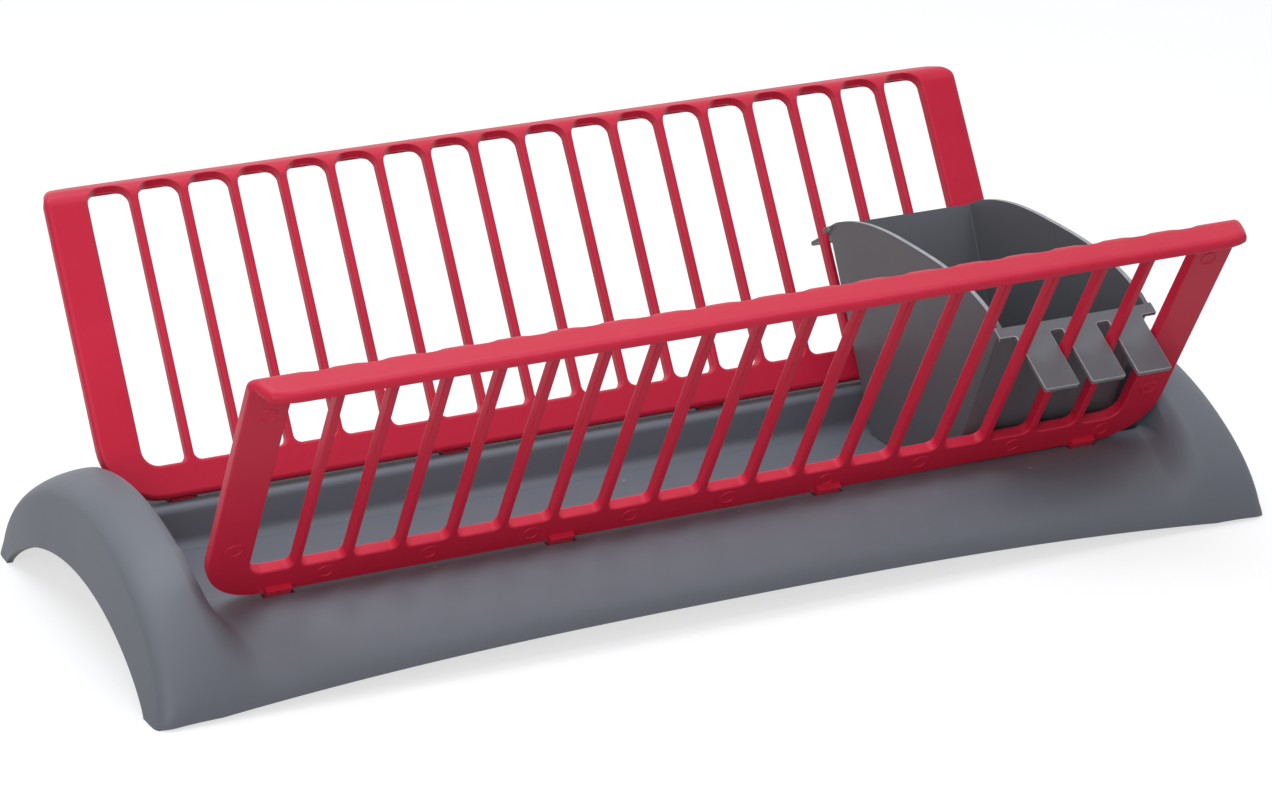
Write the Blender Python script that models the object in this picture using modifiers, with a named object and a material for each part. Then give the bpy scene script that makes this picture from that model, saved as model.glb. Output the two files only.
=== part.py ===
"""Draining rack: a moulded stand with a tray, two slotted racks that lean apart in a V,
and a cutlery holder that hooks through the slots of both racks.

Units are metres, +Z is up, +X runs along the length and -Y is the front.
A rack is modelled upright (x along it, -y outward, z up its face) and then leaned over.
"""
import math

import bmesh
import bpy
from mathutils import Matrix, Vector

# Racks
PITCH = 0.022               # from bar to bar
BAR_COUNT = 17
BAR_WIDTH = 0.0033
RACK_THICKNESS = 0.0055
RACK_HEIGHT = 0.1352        # up the leaning face, to the crest of the rail's curl
SILL_HEIGHT = 0.014
STILE_WIDTH = 0.018
RACK_LEAN = math.radians(31.0)
RACK_LOW_CORNER = 0.025
RACK_TOP_CORNER = 0.013
SLOT_LOW_RADIUS = 0.0034
SLOT_END_RADIUS = 0.007     # low corner of the outermost slots, beside the stiles
SLOT_TOP_RADIUS = 0.0075
SLOT_TOP_MARGIN = 0.0008    # left of the rail above a slot
SLOT_REACH = 0.0025         # of a slot's arch into the lip, past the outer face
RAIL_BEND = 0.00775         # radius of the curl, outside
RAIL_TURN = math.radians(71.0)
LIP_REACH = 0.0108          # past the outer face
LIP_THICKNESS = 0.0044
LIP_EDGE = 0.0014           # rounding of the lip's long edge
LIP_FILLET = 0.002          # under the lip, where it leaves the outer face
LIP_END = 0.0006            # what is left of the lip at its ends
LIP_CORNER_LENGTH = 0.017
RACK_EDGE = 0.0006

# Tabs that plug the racks into the stand
TAB_WIDTH = 0.011
TAB_THICKNESS = 0.003
TAB_SINK = 0.0005           # of the tab inside the sill
TAB_RISE = 0.004
TAB_DROP = 0.008
TAB_TAPER = 0.0012
TAB_INNER_X = 0.0605
TAB_OUTER_X = 0.182
TAB_SIDE_PLAY = 0.0012
TAB_FACE_PLAY = 0.0004
TAB_END_PLAY = 0.001

# Stand
WALL = 0.0025
TRAY_FLOOR = 0.011          # top of the tray floor
TRAY_HALF_DEPTH = 0.046     # at the top of the tray wall
TRAY_DRAFT = math.radians(5.0)
TRAY_FILLET = 0.005
CREST_HEIGHT = 0.0283
CREST_RADIUS = 0.0038
FOOT_HALF_DEPTH = 0.1005
SKIRT_RISE = 0.0103         # of the long lower edges at mid length
SKIRT_POWER = 2.6
APRON_POWER = 2.3
RIDGE_HEIGHT = 0.0592
RIDGE_POWER = 1.92
FOLD_SPREAD = 1.0           # widening of the end wall's fold down the apron
FOLD_FADE = 0.4             # share of the apron over which the steep wall eases off
RIDGE_INNER_RADIUS = 0.005
RIDGE_OUTER_RADIUS = 0.0085
VALLEY_FILLET = 0.004
END_WALL_LEAN = math.radians(3.0)
END_WALL_START = 0.003      # the valley's fillet starts this far inside the rack's end
END_WALL_RUN = 0.0347       # from the rack's end to the foot's end
END_WALL_FLARE = 0.1        # run outward per unit of drop
FOOT_CORNER = 0.008
END_ARCH_HALF_SPAN = 0.0925
END_ARCH_RISE = 0.028
END_ARCH_POWER = 0.9
ROUND_SHARE = 0.6           # most of the end wall's height that its outer round may take
END_WALL_SLANT = 0.18       # how much of the end wall's run is spread over its whole height
FOOT_TRIM = 0.001           # cut off below the floor line

# Cutlery holder
HOLDER_SLOT = 7.5           # its middle, in pitches from the middle of the rack
TONGUE_COUNT = 3
HOLDER_SIDE = 0.003         # the box passes the outer slots' pitch by this
HOLDER_WALL = 0.002
HOLDER_FOOT_GAP = 0.0085    # from the tray wall, at the tray floor
HOLDER_RIM_HEIGHT = 0.094
HOLDER_RIM_GAP = 0.0115     # from the rack's inner face
HOLDER_ARCH_RISE = 0.014
HOLDER_ARCH_POWER = 1.8
HOLDER_CORNER = 0.005
COMB_THICKNESS = 0.002
COMB_SLOPE = math.radians(31.8)
COMB_ROOT = 0.0045
COMB_SIDE = 0.0015          # the comb's root passes the box by this
TONGUE_PLAY = 0.0013        # to the bar on each side
TONGUE_OVERHANG = 0.017     # past the rack's outer face
TONGUE_CORNER = 0.0008
DRAIN_COUNT = 4
DRAIN_WIDTH = 0.004
DRAIN_LENGTH = 0.044
DRAIN_PITCH = 0.014

SEAT_GAP = 0.0003
CUT_MARGIN = 0.01           # of a cutter past what it cuts
RACK_FOOT_INSET = 0.0004    # of a rack's foot from the tray side of the crest
TRAY_FLOOR_SPLIT = 0.55     # where the flat floor's half is split, as a share of it

# Worked out from the sizes above
SLOT_COUNT = BAR_COUNT + 1
SLOT_WIDTH = PITCH - BAR_WIDTH
RACK_HALF = BAR_COUNT * PITCH / 2 + SLOT_WIDTH / 2 + STILE_WIDTH
HALF_THICKNESS = RACK_THICKNESS / 2
CREST_Y = TRAY_HALF_DEPTH + CREST_RADIUS
RACK_FOOT_Y = CREST_Y + HALF_THICKNESS * math.cos(RACK_LEAN) - RACK_FOOT_INSET
RACK_FOOT_Z = CREST_HEIGHT + SEAT_GAP + HALF_THICKNESS * math.sin(RACK_LEAN)
FOOT_HALF_LENGTH = RACK_HALF + END_WALL_RUN
HOLDER_X = HOLDER_SLOT * PITCH
HOLDER_HALF_LENGTH = TONGUE_COUNT * PITCH / 2 + HOLDER_SIDE
HOLDER_FLOOR = TRAY_FLOOR + SEAT_GAP

RED = (0.55, 0.035, 0.065, 1.0)
GREY = (0.155, 0.165, 0.18, 1.0)
HOLDER_GREY = (0.12, 0.12, 0.125, 1.0)


def clear_scene():
    for obj in list(bpy.data.objects):
        bpy.data.objects.remove(obj, do_unlink=True)


def make_collection(name):
    collection = bpy.data.collections.new(name)
    bpy.context.scene.collection.children.link(collection)
    return collection


def make_material(name, colour, roughness):
    material = bpy.data.materials.new(name)
    material.use_nodes = True
    shader = material.node_tree.nodes["Principled BSDF"]
    shader.inputs["Base Color"].default_value = colour
    shader.inputs["Roughness"].default_value = roughness
    shader.inputs["Metallic"].default_value = 0.0
    material.diffuse_color = colour
    return material


def object_from(name, bm, collection):
    """Turn a bmesh into an object with its faces pointing out."""
    bmesh.ops.recalc_face_normals(bm, faces=bm.faces)
    mesh = bpy.data.meshes.new(name)
    bm.to_mesh(mesh)
    bm.free()
    obj = bpy.data.objects.new(name, mesh)
    collection.objects.link(obj)
    return obj


def as_cutter(obj):
    obj.hide_render = True
    obj.display_type = "WIRE"
    return obj


def add_boolean(obj, operation, other):
    modifier = obj.modifiers.new(other.name, "BOOLEAN")
    modifier.operation = operation
    modifier.solver = "EXACT"
    modifier.object = other


def add_solidify(obj, thickness, offset):
    modifier = obj.modifiers.new("thickness", "SOLIDIFY")
    modifier.thickness = thickness
    modifier.offset = offset
    modifier.use_even_offset = True


def evaluated_mesh(obj, name):
    graph = bpy.context.evaluated_depsgraph_get()
    mesh = bpy.data.meshes.new_from_object(obj.evaluated_get(graph))
    mesh.name = name
    return mesh


def arc(centre, radius, start, end, steps):
    """Points of an arc from start to end, in degrees."""
    points = []
    for i in range(steps + 1):
        angle = math.radians(start + (end - start) * i / steps)
        points.append((centre[0] + radius * math.cos(angle), centre[1] + radius * math.sin(angle)))
    return points


def prism(bm, outline, axis, low, high):
    """Add a closed prism: a flat outline carried along one axis from low to high."""
    order = {"X": (2, 0, 1), "Y": (0, 2, 1), "Z": (0, 1, 2)}[axis]
    verts = []
    for a, b in outline:
        values = (a, b, low)
        verts.append(bm.verts.new([values[i] for i in order]))
    face = bm.faces.new(verts)
    extruded = bmesh.ops.extrude_face_region(bm, geom=[face])
    moved = [item for item in extruded["geom"] if isinstance(item, bmesh.types.BMVert)]
    shift = Vector((0.0, 0.0, 0.0))
    shift["XYZ".index(axis)] = high - low
    bmesh.ops.translate(bm, vec=shift, verts=moved)
    return verts + moved


def box(bm, low, high):
    size = [h - l for l, h in zip(low, high)]
    middle = [(h + l) / 2 for l, h in zip(low, high)]
    matrix = Matrix.Translation(middle) @ Matrix.Diagonal((*size, 1.0))
    return bmesh.ops.create_cube(bm, size=1.0, matrix=matrix)["verts"]


def rack_face_y(z):
    """Distance from the middle of the stand to the middle of a rack, at height z."""
    return RACK_FOOT_Y + (z - RACK_FOOT_Z) * math.tan(RACK_LEAN)


def tab_positions():
    return [-TAB_OUTER_X, -TAB_INNER_X, TAB_INNER_X, TAB_OUTER_X]


# Stand


def valley_section():
    """Half of the cross-section at mid length: tray floor, tray wall, crest, apron."""
    floor_fillet_y = TRAY_HALF_DEPTH - (CREST_HEIGHT - TRAY_FLOOR) * math.tan(TRAY_DRAFT) - TRAY_FILLET
    draft = math.degrees(TRAY_DRAFT)
    points = [(0.0, TRAY_FLOOR), (floor_fillet_y * TRAY_FLOOR_SPLIT, TRAY_FLOOR)]
    points += arc((floor_fillet_y, TRAY_FLOOR + TRAY_FILLET), TRAY_FILLET, -90.0, -draft, 3)
    points += arc((CREST_Y, CREST_HEIGHT - CREST_RADIUS), CREST_RADIUS, 180.0 - draft, 90.0, 3)
    steps = 9
    for i in range(1, steps + 1):
        angle = math.radians(90.0 * i / steps)
        across = math.sin(angle) ** (2.0 / APRON_POWER)
        fall = max(math.cos(angle), 0.0) ** (2.0 / APRON_POWER)
        y = CREST_Y + (FOOT_HALF_DEPTH - CREST_Y) * across
        points.append((y, SKIRT_RISE + (CREST_HEIGHT - SKIRT_RISE) * fall))
    return points


def ridge_height(y):
    share = min(y / FOOT_HALF_DEPTH, 1.0)
    return RIDGE_HEIGHT * (1.0 - share ** RIDGE_POWER) ** (1.0 / RIDGE_POWER)


def end_arch_height(y):
    """Lower edge of the end wall: an arch between two flat feet."""
    fullness = max(1.0 - (y / END_ARCH_HALF_SPAN) ** 2, 0.0) ** END_ARCH_POWER
    return (END_ARCH_RISE + FOOT_TRIM) * fullness - FOOT_TRIM


def inner_wall_stations():
    """Stations up the valley's end wall: (x, share of the way up to the ridge)."""
    height = RIDGE_HEIGHT - TRAY_FLOOR
    x = RACK_HALF - END_WALL_START
    steep = 90.0 - math.degrees(END_WALL_LEAN)
    fillet = arc((x, VALLEY_FILLET), VALLEY_FILLET, -90.0, steep - 90.0, 4)
    wall_x, wall_z = fillet[-1]
    round_height = RIDGE_INNER_RADIUS * (1.0 - math.cos(math.radians(steep)))
    wall_x += (height - round_height - wall_z) * math.tan(END_WALL_LEAN)
    centre = (wall_x + RIDGE_INNER_RADIUS * math.sin(math.radians(steep)), height - RIDGE_INNER_RADIUS)
    crown = arc(centre, RIDGE_INNER_RADIUS, 90.0 + steep, 90.0, 4)
    return [(px, pz / height) for px, pz in fillet + crown]


def skirt_edge_height(x):
    """Lower edge of the long walls: an arch from foot to foot."""
    return (SKIRT_RISE + FOOT_TRIM) * (1.0 - (x / FOOT_HALF_LENGTH) ** SKIRT_POWER) - FOOT_TRIM


def base_section_at(x, share_up, fold, valley):
    """Section points at a station; the fold runs from the end wall's foot to its ridge."""
    start, ridge_x = fold
    way = max((x - start) / (ridge_x - start), 0.0)
    eased = way * way * (3.0 - 2.0 * way)
    points = []
    for y, z in valley:
        out = max((y - CREST_Y) / (FOOT_HALF_DEPTH - CREST_Y), 0.0)
        spread = FOLD_SPREAD * out * (ridge_x - max(x, start)) * min(x / start, 1.0)
        share = share_up + (eased - share_up) * min(out / FOLD_FADE, 1.0)
        edge = skirt_edge_height(x - spread)
        low_z = z + (edge - SKIRT_RISE) * out ** 3
        high_z = ridge_height(y) + edge * out ** 3
        points.append((x - spread, y, low_z + (high_z - low_z) * share))
    return points


def base_end_rows(ridge_x, ridge_points):
    """Rows from the ridge over its outer round and down the end wall to the lower edge."""
    round_steps = 4
    wall_steps = 3
    steps = round_steps + wall_steps
    rows = []
    for step in range(1, steps + 1):
        turn = math.radians(90.0 * min(step / round_steps, 1.0))
        down = max((step - round_steps) / wall_steps, 0.0)
        out = math.sin(turn)
        row = []
        for y, z in ridge_points:
            low_z = end_arch_height(y)
            radius = min(RIDGE_OUTER_RADIUS, ROUND_SHARE * max(z - low_z, 0.0))
            shoulder = z - radius * (1.0 - math.cos(turn))
            height = shoulder - down * (z - radius - low_z)
            wall_x = FOOT_HALF_LENGTH - END_WALL_FLARE * max(height, 0.0)
            x = ridge_x + (wall_x - ridge_x) * (out + (step / steps - out) * END_WALL_SLANT)
            past = max((x - (FOOT_HALF_LENGTH - FOOT_CORNER)) / FOOT_CORNER, 0.0)
            inset = FOOT_CORNER * (1.0 - math.sqrt(max(1.0 - past ** 2, 0.0)))
            row.append((x, y * (1.0 - inset / FOOT_HALF_DEPTH), height))
        rows.append(row)
    return rows


def base_skin(collection):
    """A quarter of the stand's upper surface, lofted from section to section."""
    valley = valley_section()
    stations = inner_wall_stations()
    start = stations[0][0]
    ridge_x = stations[-1][0]
    plain_steps = 6
    plain = [(start * i / plain_steps, 0.0) for i in range(plain_steps)]
    rows = [base_section_at(x, share_up, (start, ridge_x), valley) for x, share_up in plain + stations]
    rows += base_end_rows(ridge_x, [(y, z) for _, y, z in rows[-1]])
    bm = bmesh.new()
    grid = [[bm.verts.new(point) for point in row] for row in rows]
    for near, far in zip(grid, grid[1:]):
        for i in range(len(near) - 1):
            bm.faces.new((near[i], far[i], far[i + 1], near[i + 1]))
    mesh = bpy.data.meshes.new("base")
    bm.to_mesh(mesh)
    bm.free()
    obj = bpy.data.objects.new("base", mesh)
    collection.objects.link(obj)
    return obj


def floor_line_cutter(collection):
    bm = bmesh.new()
    reach = FOOT_HALF_LENGTH + CUT_MARGIN
    box(bm, (-reach, -reach, -CUT_MARGIN), (reach, reach, 0.0))
    return as_cutter(object_from("floor_line_cut", bm, collection))


def tab_slot_cutter(collection, side):
    """The slots in one crest, cut along the rack's lean."""
    bm = bmesh.new()
    outer = -(HALF_THICKNESS - TAB_SINK + TAB_THICKNESS + TAB_FACE_PLAY)
    inner = -(HALF_THICKNESS - TAB_SINK - TAB_FACE_PLAY)
    half = TAB_WIDTH / 2 + TAB_SIDE_PLAY
    for x in tab_positions():
        box(bm, (x - half, outer, -TAB_DROP - TAB_END_PLAY), (x + half, inner, TAB_RISE))
    cutter = object_from("tab_slots_" + side, bm, collection)
    place_rack(cutter, side)
    return as_cutter(cutter)


def build_base(parts, cutters, material):
    base = base_skin(parts)
    mirror = base.modifiers.new("halves", "MIRROR")
    mirror.use_axis = (True, True, False)
    mirror.merge_threshold = 0.00005
    add_solidify(base, WALL, -1.0)
    add_boolean(base, "DIFFERENCE", floor_line_cutter(cutters))
    for side in ("front", "back"):
        add_boolean(base, "DIFFERENCE", tab_slot_cutter(cutters, side))
    base.data.materials.append(material)
    base.data.shade_smooth()
    return base


# Racks


def place_rack(obj, side):
    """Lean an upright rack, or something made in its frame, out to its side."""
    if side == "front":
        obj.location = (0.0, -RACK_FOOT_Y, RACK_FOOT_Z)
        obj.rotation_euler = (RACK_LEAN, 0.0, 0.0)
    else:
        obj.location = (0.0, RACK_FOOT_Y, RACK_FOOT_Z)
        obj.rotation_euler = (RACK_LEAN, 0.0, math.pi)


def rack_section():
    """The rack seen from its end: the face, the curl of the rail and its thinner lip."""
    turn = math.degrees(RAIL_TURN)
    bend_z = RACK_HEIGHT - RAIL_BEND
    bend_y = HALF_THICKNESS - RAIL_BEND
    out = Vector((-math.sin(RAIL_TURN), math.cos(RAIL_TURN)))
    up = Vector((math.cos(RAIL_TURN), math.sin(RAIL_TURN)))
    curl_end = Vector((bend_y, bend_z)) + RAIL_BEND * up
    run = (HALF_THICKNESS + LIP_REACH + curl_end.x) / math.sin(RAIL_TURN)
    upper = curl_end + (run - LIP_EDGE) * out - LIP_EDGE * up
    lower = curl_end + (run - LIP_EDGE) * out - (LIP_THICKNESS - LIP_EDGE) * up
    fillet_y = -HALF_THICKNESS - LIP_FILLET
    under = RAIL_BEND - LIP_THICKNESS - LIP_FILLET
    fillet_z = bend_z + (under - (fillet_y - bend_y) * up.x) / up.y
    points = [(HALF_THICKNESS, 0.0)]
    points += arc((bend_y, bend_z), RAIL_BEND, 0.0, turn, 5)
    points += arc(upper, LIP_EDGE, turn, turn + 90.0, 3)
    points += arc(lower, LIP_EDGE, turn + 90.0, turn + 180.0, 2)
    points += arc((fillet_y, fillet_z), LIP_FILLET, turn, 0.0, 3)
    points.append((-HALF_THICKNESS, 0.0))
    return points


def rack_blank(collection):
    bm = bmesh.new()
    prism(bm, rack_section(), "X", -RACK_HALF, RACK_HALF)
    return object_from("rack_blank", bm, collection)


def face_outline_form(collection):
    """The rack's outline as seen square on, with its four round corners."""
    low, top = RACK_LOW_CORNER, RACK_TOP_CORNER
    wide = RACK_HALF
    corner_z = RACK_HEIGHT + LIP_REACH / math.tan(RAIL_TURN) - top
    outline = arc((wide - low, low), low, -90.0, 0.0, 6)
    outline += arc((wide - top, corner_z), top, 0.0, 90.0, 4)
    outline += arc((-wide + top, corner_z), top, 90.0, 180.0, 4)
    outline += arc((-wide + low, low), low, 180.0, 270.0, 6)
    bm = bmesh.new()
    reach = HALF_THICKNESS + LIP_REACH + CUT_MARGIN
    prism(bm, outline, "Y", -reach, reach)
    return as_cutter(object_from("rack_outline", bm, collection))


def lip_outline_form(collection):
    """The rack's outline from above: the lip fades out at both ends in a round."""
    start = -(HALF_THICKNESS + LIP_END)
    reach = LIP_REACH - LIP_END
    steps = 5
    corner = []
    for i in range(steps + 1):
        angle = math.radians(90.0 * i / steps)
        x = RACK_HALF - LIP_CORNER_LENGTH * (1.0 - math.cos(angle))
        corner.append((x, start - reach * math.sin(angle)))
    past_end = RACK_HALF + CUT_MARGIN
    past_face = HALF_THICKNESS + CUT_MARGIN
    outline = [(past_end, past_face), (past_end, start)] + corner
    outline += [(-x, y) for x, y in reversed(corner)]
    outline += [(-past_end, start), (-past_end, past_face)]
    bm = bmesh.new()
    prism(bm, outline, "Z", -CUT_MARGIN, RACK_HEIGHT + CUT_MARGIN)
    return as_cutter(object_from("lip_outline", bm, collection))


def slot_cutter(collection):
    """All slots of a rack: almost square at the sill, arched where they run into the rail."""
    low = SILL_HEIGHT
    top = RACK_HEIGHT - SLOT_TOP_MARGIN - SLOT_TOP_RADIUS
    bm = bmesh.new()
    for i in range(SLOT_COUNT):
        left = (i - BAR_COUNT / 2) * PITCH - SLOT_WIDTH / 2
        right = left + SLOT_WIDTH
        low_left = SLOT_END_RADIUS if i == 0 else SLOT_LOW_RADIUS
        low_right = SLOT_END_RADIUS if i == SLOT_COUNT - 1 else SLOT_LOW_RADIUS
        outline = arc((right - low_right, low + low_right), low_right, -90.0, 0.0, 2)
        outline += arc((right - SLOT_TOP_RADIUS, top), SLOT_TOP_RADIUS, 0.0, 90.0, 4)
        outline += arc((left + SLOT_TOP_RADIUS, top), SLOT_TOP_RADIUS, 90.0, 180.0, 4)
        outline += arc((left + low_left, low + low_left), low_left, 180.0, 270.0, 2)
        prism(bm, outline, "Y", -(HALF_THICKNESS + SLOT_REACH), HALF_THICKNESS + CUT_MARGIN)
    return as_cutter(object_from("rack_slots", bm, collection))


def tab_form(collection):
    """The four tabs, tapered at the tip, sunk a little into the sill's outer face."""
    bm = bmesh.new()
    inner = -(HALF_THICKNESS - TAB_SINK)
    outer = inner - TAB_THICKNESS
    for x in tab_positions():
        verts = box(bm, (x - TAB_WIDTH / 2, outer, -TAB_DROP), (x + TAB_WIDTH / 2, inner, TAB_RISE))
        for vert in verts:
            if vert.co.z < 0.0:
                vert.co.x += math.copysign(TAB_TAPER, x - vert.co.x)
                if vert.co.y < (inner + outer) / 2:
                    vert.co.y += TAB_TAPER
    return as_cutter(object_from("rack_tabs", bm, collection))


def soften_face_edges(mesh):
    """Chamfer the sharp edges of the flat face: its rim, and the slots below their arches."""
    limit = RACK_HEIGHT - SLOT_TOP_MARGIN - SLOT_TOP_RADIUS + SEAT_GAP
    bm = bmesh.new()
    bm.from_mesh(mesh)
    edges = []
    for edge in bm.edges:
        low_enough = all(vert.co.z < limit for vert in edge.verts)
        if low_enough and edge.calc_face_angle(0.0) > math.radians(50.0):
            edges.append(edge)
    bmesh.ops.bevel(bm, geom=edges, offset=RACK_EDGE, segments=1, profile=0.5, affect="EDGES",
                    clamp_overlap=False)
    bm.to_mesh(mesh)
    bm.free()


def rack_mesh(collection, cutters):
    blank = rack_blank(collection)
    add_boolean(blank, "INTERSECT", face_outline_form(cutters))
    add_boolean(blank, "INTERSECT", lip_outline_form(cutters))
    add_boolean(blank, "DIFFERENCE", slot_cutter(cutters))
    face = evaluated_mesh(blank, "rack_face")
    bpy.data.objects.remove(blank, do_unlink=True)
    soften_face_edges(face)
    tabbed = bpy.data.objects.new("rack_with_tabs", face)
    collection.objects.link(tabbed)
    add_boolean(tabbed, "UNION", tab_form(cutters))
    mesh = evaluated_mesh(tabbed, "rack")
    bpy.data.objects.remove(tabbed, do_unlink=True)
    return mesh


def build_racks(parts, cutters, material):
    mesh = rack_mesh(parts, cutters)
    mesh.materials.clear()
    mesh.materials.append(material)
    mesh.shade_smooth()
    mesh.set_sharp_from_angle(angle=math.radians(40.0))
    for side in ("front", "back"):
        rack = bpy.data.objects.new("rack_" + side, mesh)
        parts.objects.link(rack)
        place_rack(rack, side)


# Cutlery holder


def holder_foot_half():
    return TRAY_HALF_DEPTH - HOLDER_FOOT_GAP


def holder_rim_half():
    return rack_face_y(HOLDER_RIM_HEIGHT) - HALF_THICKNESS / math.cos(RACK_LEAN) - HOLDER_RIM_GAP


def holder_side_outline():
    """The holder seen from its end: leaning walls and an arched top."""
    foot = holder_foot_half()
    rim = holder_rim_half()
    outline = [(-foot, HOLDER_FLOOR), (foot, HOLDER_FLOOR)]
    steps = 14
    for i in range(steps + 1):
        y = rim * math.cos(math.pi * i / steps)
        share = abs(y) / rim
        rise = max(1.0 - share ** HOLDER_ARCH_POWER, 0.0) ** (1.0 / HOLDER_ARCH_POWER)
        outline.append((y, HOLDER_RIM_HEIGHT + HOLDER_ARCH_RISE * rise))
    return outline


def round_upright_edges(bm, radius):
    """Round the edges that run up the four corners of a box."""
    tall = (HOLDER_RIM_HEIGHT - HOLDER_FLOOR) / 2
    edges = []
    for edge in bm.edges:
        rise = edge.verts[0].co - edge.verts[1].co
        if abs(rise.z) > tall:
            edges.append(edge)
    bmesh.ops.bevel(bm, geom=edges, offset=radius, segments=4, profile=0.5, affect="EDGES")


def holder_cavity(collection):
    foot = holder_foot_half()
    rim = holder_rim_half()
    slope = (rim - foot) / (HOLDER_RIM_HEIGHT - HOLDER_FLOOR)
    side = HOLDER_WALL * math.sqrt(1.0 + slope ** 2)
    low = HOLDER_FLOOR + HOLDER_WALL
    top = HOLDER_RIM_HEIGHT + HOLDER_ARCH_RISE + CUT_MARGIN
    low_y = foot + slope * (low - HOLDER_FLOOR) - side
    top_y = foot + slope * (top - HOLDER_FLOOR) - side
    inside = HOLDER_HALF_LENGTH - HOLDER_WALL
    bm = bmesh.new()
    prism(bm, [(-low_y, low), (low_y, low), (top_y, top), (-top_y, top)], "X", -inside, inside)
    round_upright_edges(bm, HOLDER_CORNER - HOLDER_WALL)
    cutter = object_from("holder_cavity", bm, collection)
    cutter.location.x = HOLDER_X
    return as_cutter(cutter)


def drain_cutter(collection):
    bm = bmesh.new()
    half = DRAIN_WIDTH / 2
    reach = DRAIN_LENGTH / 2 - half
    for i in range(DRAIN_COUNT):
        x = (i - (DRAIN_COUNT - 1) / 2) * DRAIN_PITCH
        outline = arc((x, reach), half, 0.0, 180.0, 4) + arc((x, -reach), half, 180.0, 360.0, 4)
        prism(bm, outline, "Z", HOLDER_FLOOR - CUT_MARGIN, HOLDER_FLOOR + HOLDER_WALL + CUT_MARGIN)
    cutter = object_from("holder_drains", bm, collection)
    cutter.location.x = HOLDER_X
    return as_cutter(cutter)


def comb_outline():
    """Root strip and tongues in the comb's own plane: x along, y outward down the slope."""
    tip_y = rack_face_y(HOLDER_RIM_HEIGHT) + HALF_THICKNESS / math.cos(RACK_LEAN)
    length = (tip_y - holder_rim_half()) / math.cos(COMB_SLOPE) + TONGUE_OVERHANG
    length -= TONGUE_OVERHANG * math.tan(RACK_LEAN) * math.sin(COMB_SLOPE)
    half = SLOT_WIDTH / 2 - TONGUE_PLAY
    end = HOLDER_HALF_LENGTH + COMB_SIDE
    start = -HOLDER_WALL / 2
    outline = [(end, start), (end, COMB_ROOT)]
    for i in range(TONGUE_COUNT):
        x = ((TONGUE_COUNT - 1) / 2 - i) * PITCH
        outline += [(x + half, COMB_ROOT), (x + half, length - TONGUE_CORNER)]
        outline += [(x + half - TONGUE_CORNER, length), (x - half + TONGUE_CORNER, length)]
        outline += [(x - half, length - TONGUE_CORNER), (x - half, COMB_ROOT)]
    outline += [(-end, COMB_ROOT), (-end, start)]
    return outline


def comb_form(collection, side):
    bm = bmesh.new()
    prism(bm, comb_outline(), "Z", -COMB_THICKNESS, 0.0)
    comb = object_from("comb_" + side, bm, collection)
    facing = 1.0 if side == "back" else -1.0
    comb.location = (HOLDER_X, facing * holder_rim_half(), HOLDER_RIM_HEIGHT)
    comb.rotation_euler = (-COMB_SLOPE, 0.0, 0.0 if side == "back" else math.pi)
    return as_cutter(comb)


def build_holder(parts, cutters, material):
    bm = bmesh.new()
    prism(bm, holder_side_outline(), "X", -HOLDER_HALF_LENGTH, HOLDER_HALF_LENGTH)
    round_upright_edges(bm, HOLDER_CORNER)
    holder = object_from("cutlery_holder", bm, parts)
    holder.location.x = HOLDER_X
    for side in ("front", "back"):
        add_boolean(holder, "UNION", comb_form(cutters, side))
    add_boolean(holder, "DIFFERENCE", holder_cavity(cutters))
    add_boolean(holder, "DIFFERENCE", drain_cutter(cutters))
    holder.data.materials.append(material)
    holder.data.shade_smooth()
    holder.data.set_sharp_from_angle(angle=math.radians(35.0))
    return holder


def main():
    clear_scene()
    parts = make_collection("draining_rack")
    cutters = make_collection("cutters")
    build_base(parts, cutters, make_material("stand_grey", GREY, 0.5))
    build_racks(parts, cutters, make_material("rack_red", RED, 0.35))
    build_holder(parts, cutters, make_material("holder_grey", HOLDER_GREY, 0.45))


main()
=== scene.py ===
"""Draining rack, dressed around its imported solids: the stand, two racks, the cutlery holder.

Units are metres, +Z is up, +X runs along the length and -Y is the front.
A rack is modelled upright (x along it, -y outward, z up its face) and then leaned over.
"""
from math import copysign, cos, pi, radians, sin, sqrt, tan
from types import SimpleNamespace

import bmesh
import bpy
from bpy.props import FloatProperty, FloatVectorProperty, IntProperty, PointerProperty
from bpy.types import Operator, Panel, PropertyGroup
from mathutils import Matrix, Vector


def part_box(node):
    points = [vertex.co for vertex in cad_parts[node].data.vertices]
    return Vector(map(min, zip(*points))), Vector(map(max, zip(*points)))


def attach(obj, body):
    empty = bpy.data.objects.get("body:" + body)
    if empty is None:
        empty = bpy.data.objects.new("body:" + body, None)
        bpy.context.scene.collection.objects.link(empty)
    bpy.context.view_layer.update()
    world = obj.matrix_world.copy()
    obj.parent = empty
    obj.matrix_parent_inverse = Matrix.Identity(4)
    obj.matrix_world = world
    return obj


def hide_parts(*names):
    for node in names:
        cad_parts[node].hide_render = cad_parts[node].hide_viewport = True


bl_info = {
    "name": "Draining Rack",
    "version": (1, 0, 0),
    "blender": (4, 5, 0),
    "location": "View3D > Sidebar > Draining Rack",
    "description": "Builds a moulded draining rack: a stand with a tray, two racks and a cutlery holder",
    "category": "Add Mesh",
}

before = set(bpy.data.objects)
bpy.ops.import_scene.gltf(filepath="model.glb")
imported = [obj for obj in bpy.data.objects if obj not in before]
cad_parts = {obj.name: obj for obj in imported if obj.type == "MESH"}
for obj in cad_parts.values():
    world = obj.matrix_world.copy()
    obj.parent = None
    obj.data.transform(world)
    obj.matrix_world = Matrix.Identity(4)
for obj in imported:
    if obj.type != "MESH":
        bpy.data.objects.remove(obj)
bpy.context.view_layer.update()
BASE_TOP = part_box("base")[1]

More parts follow.
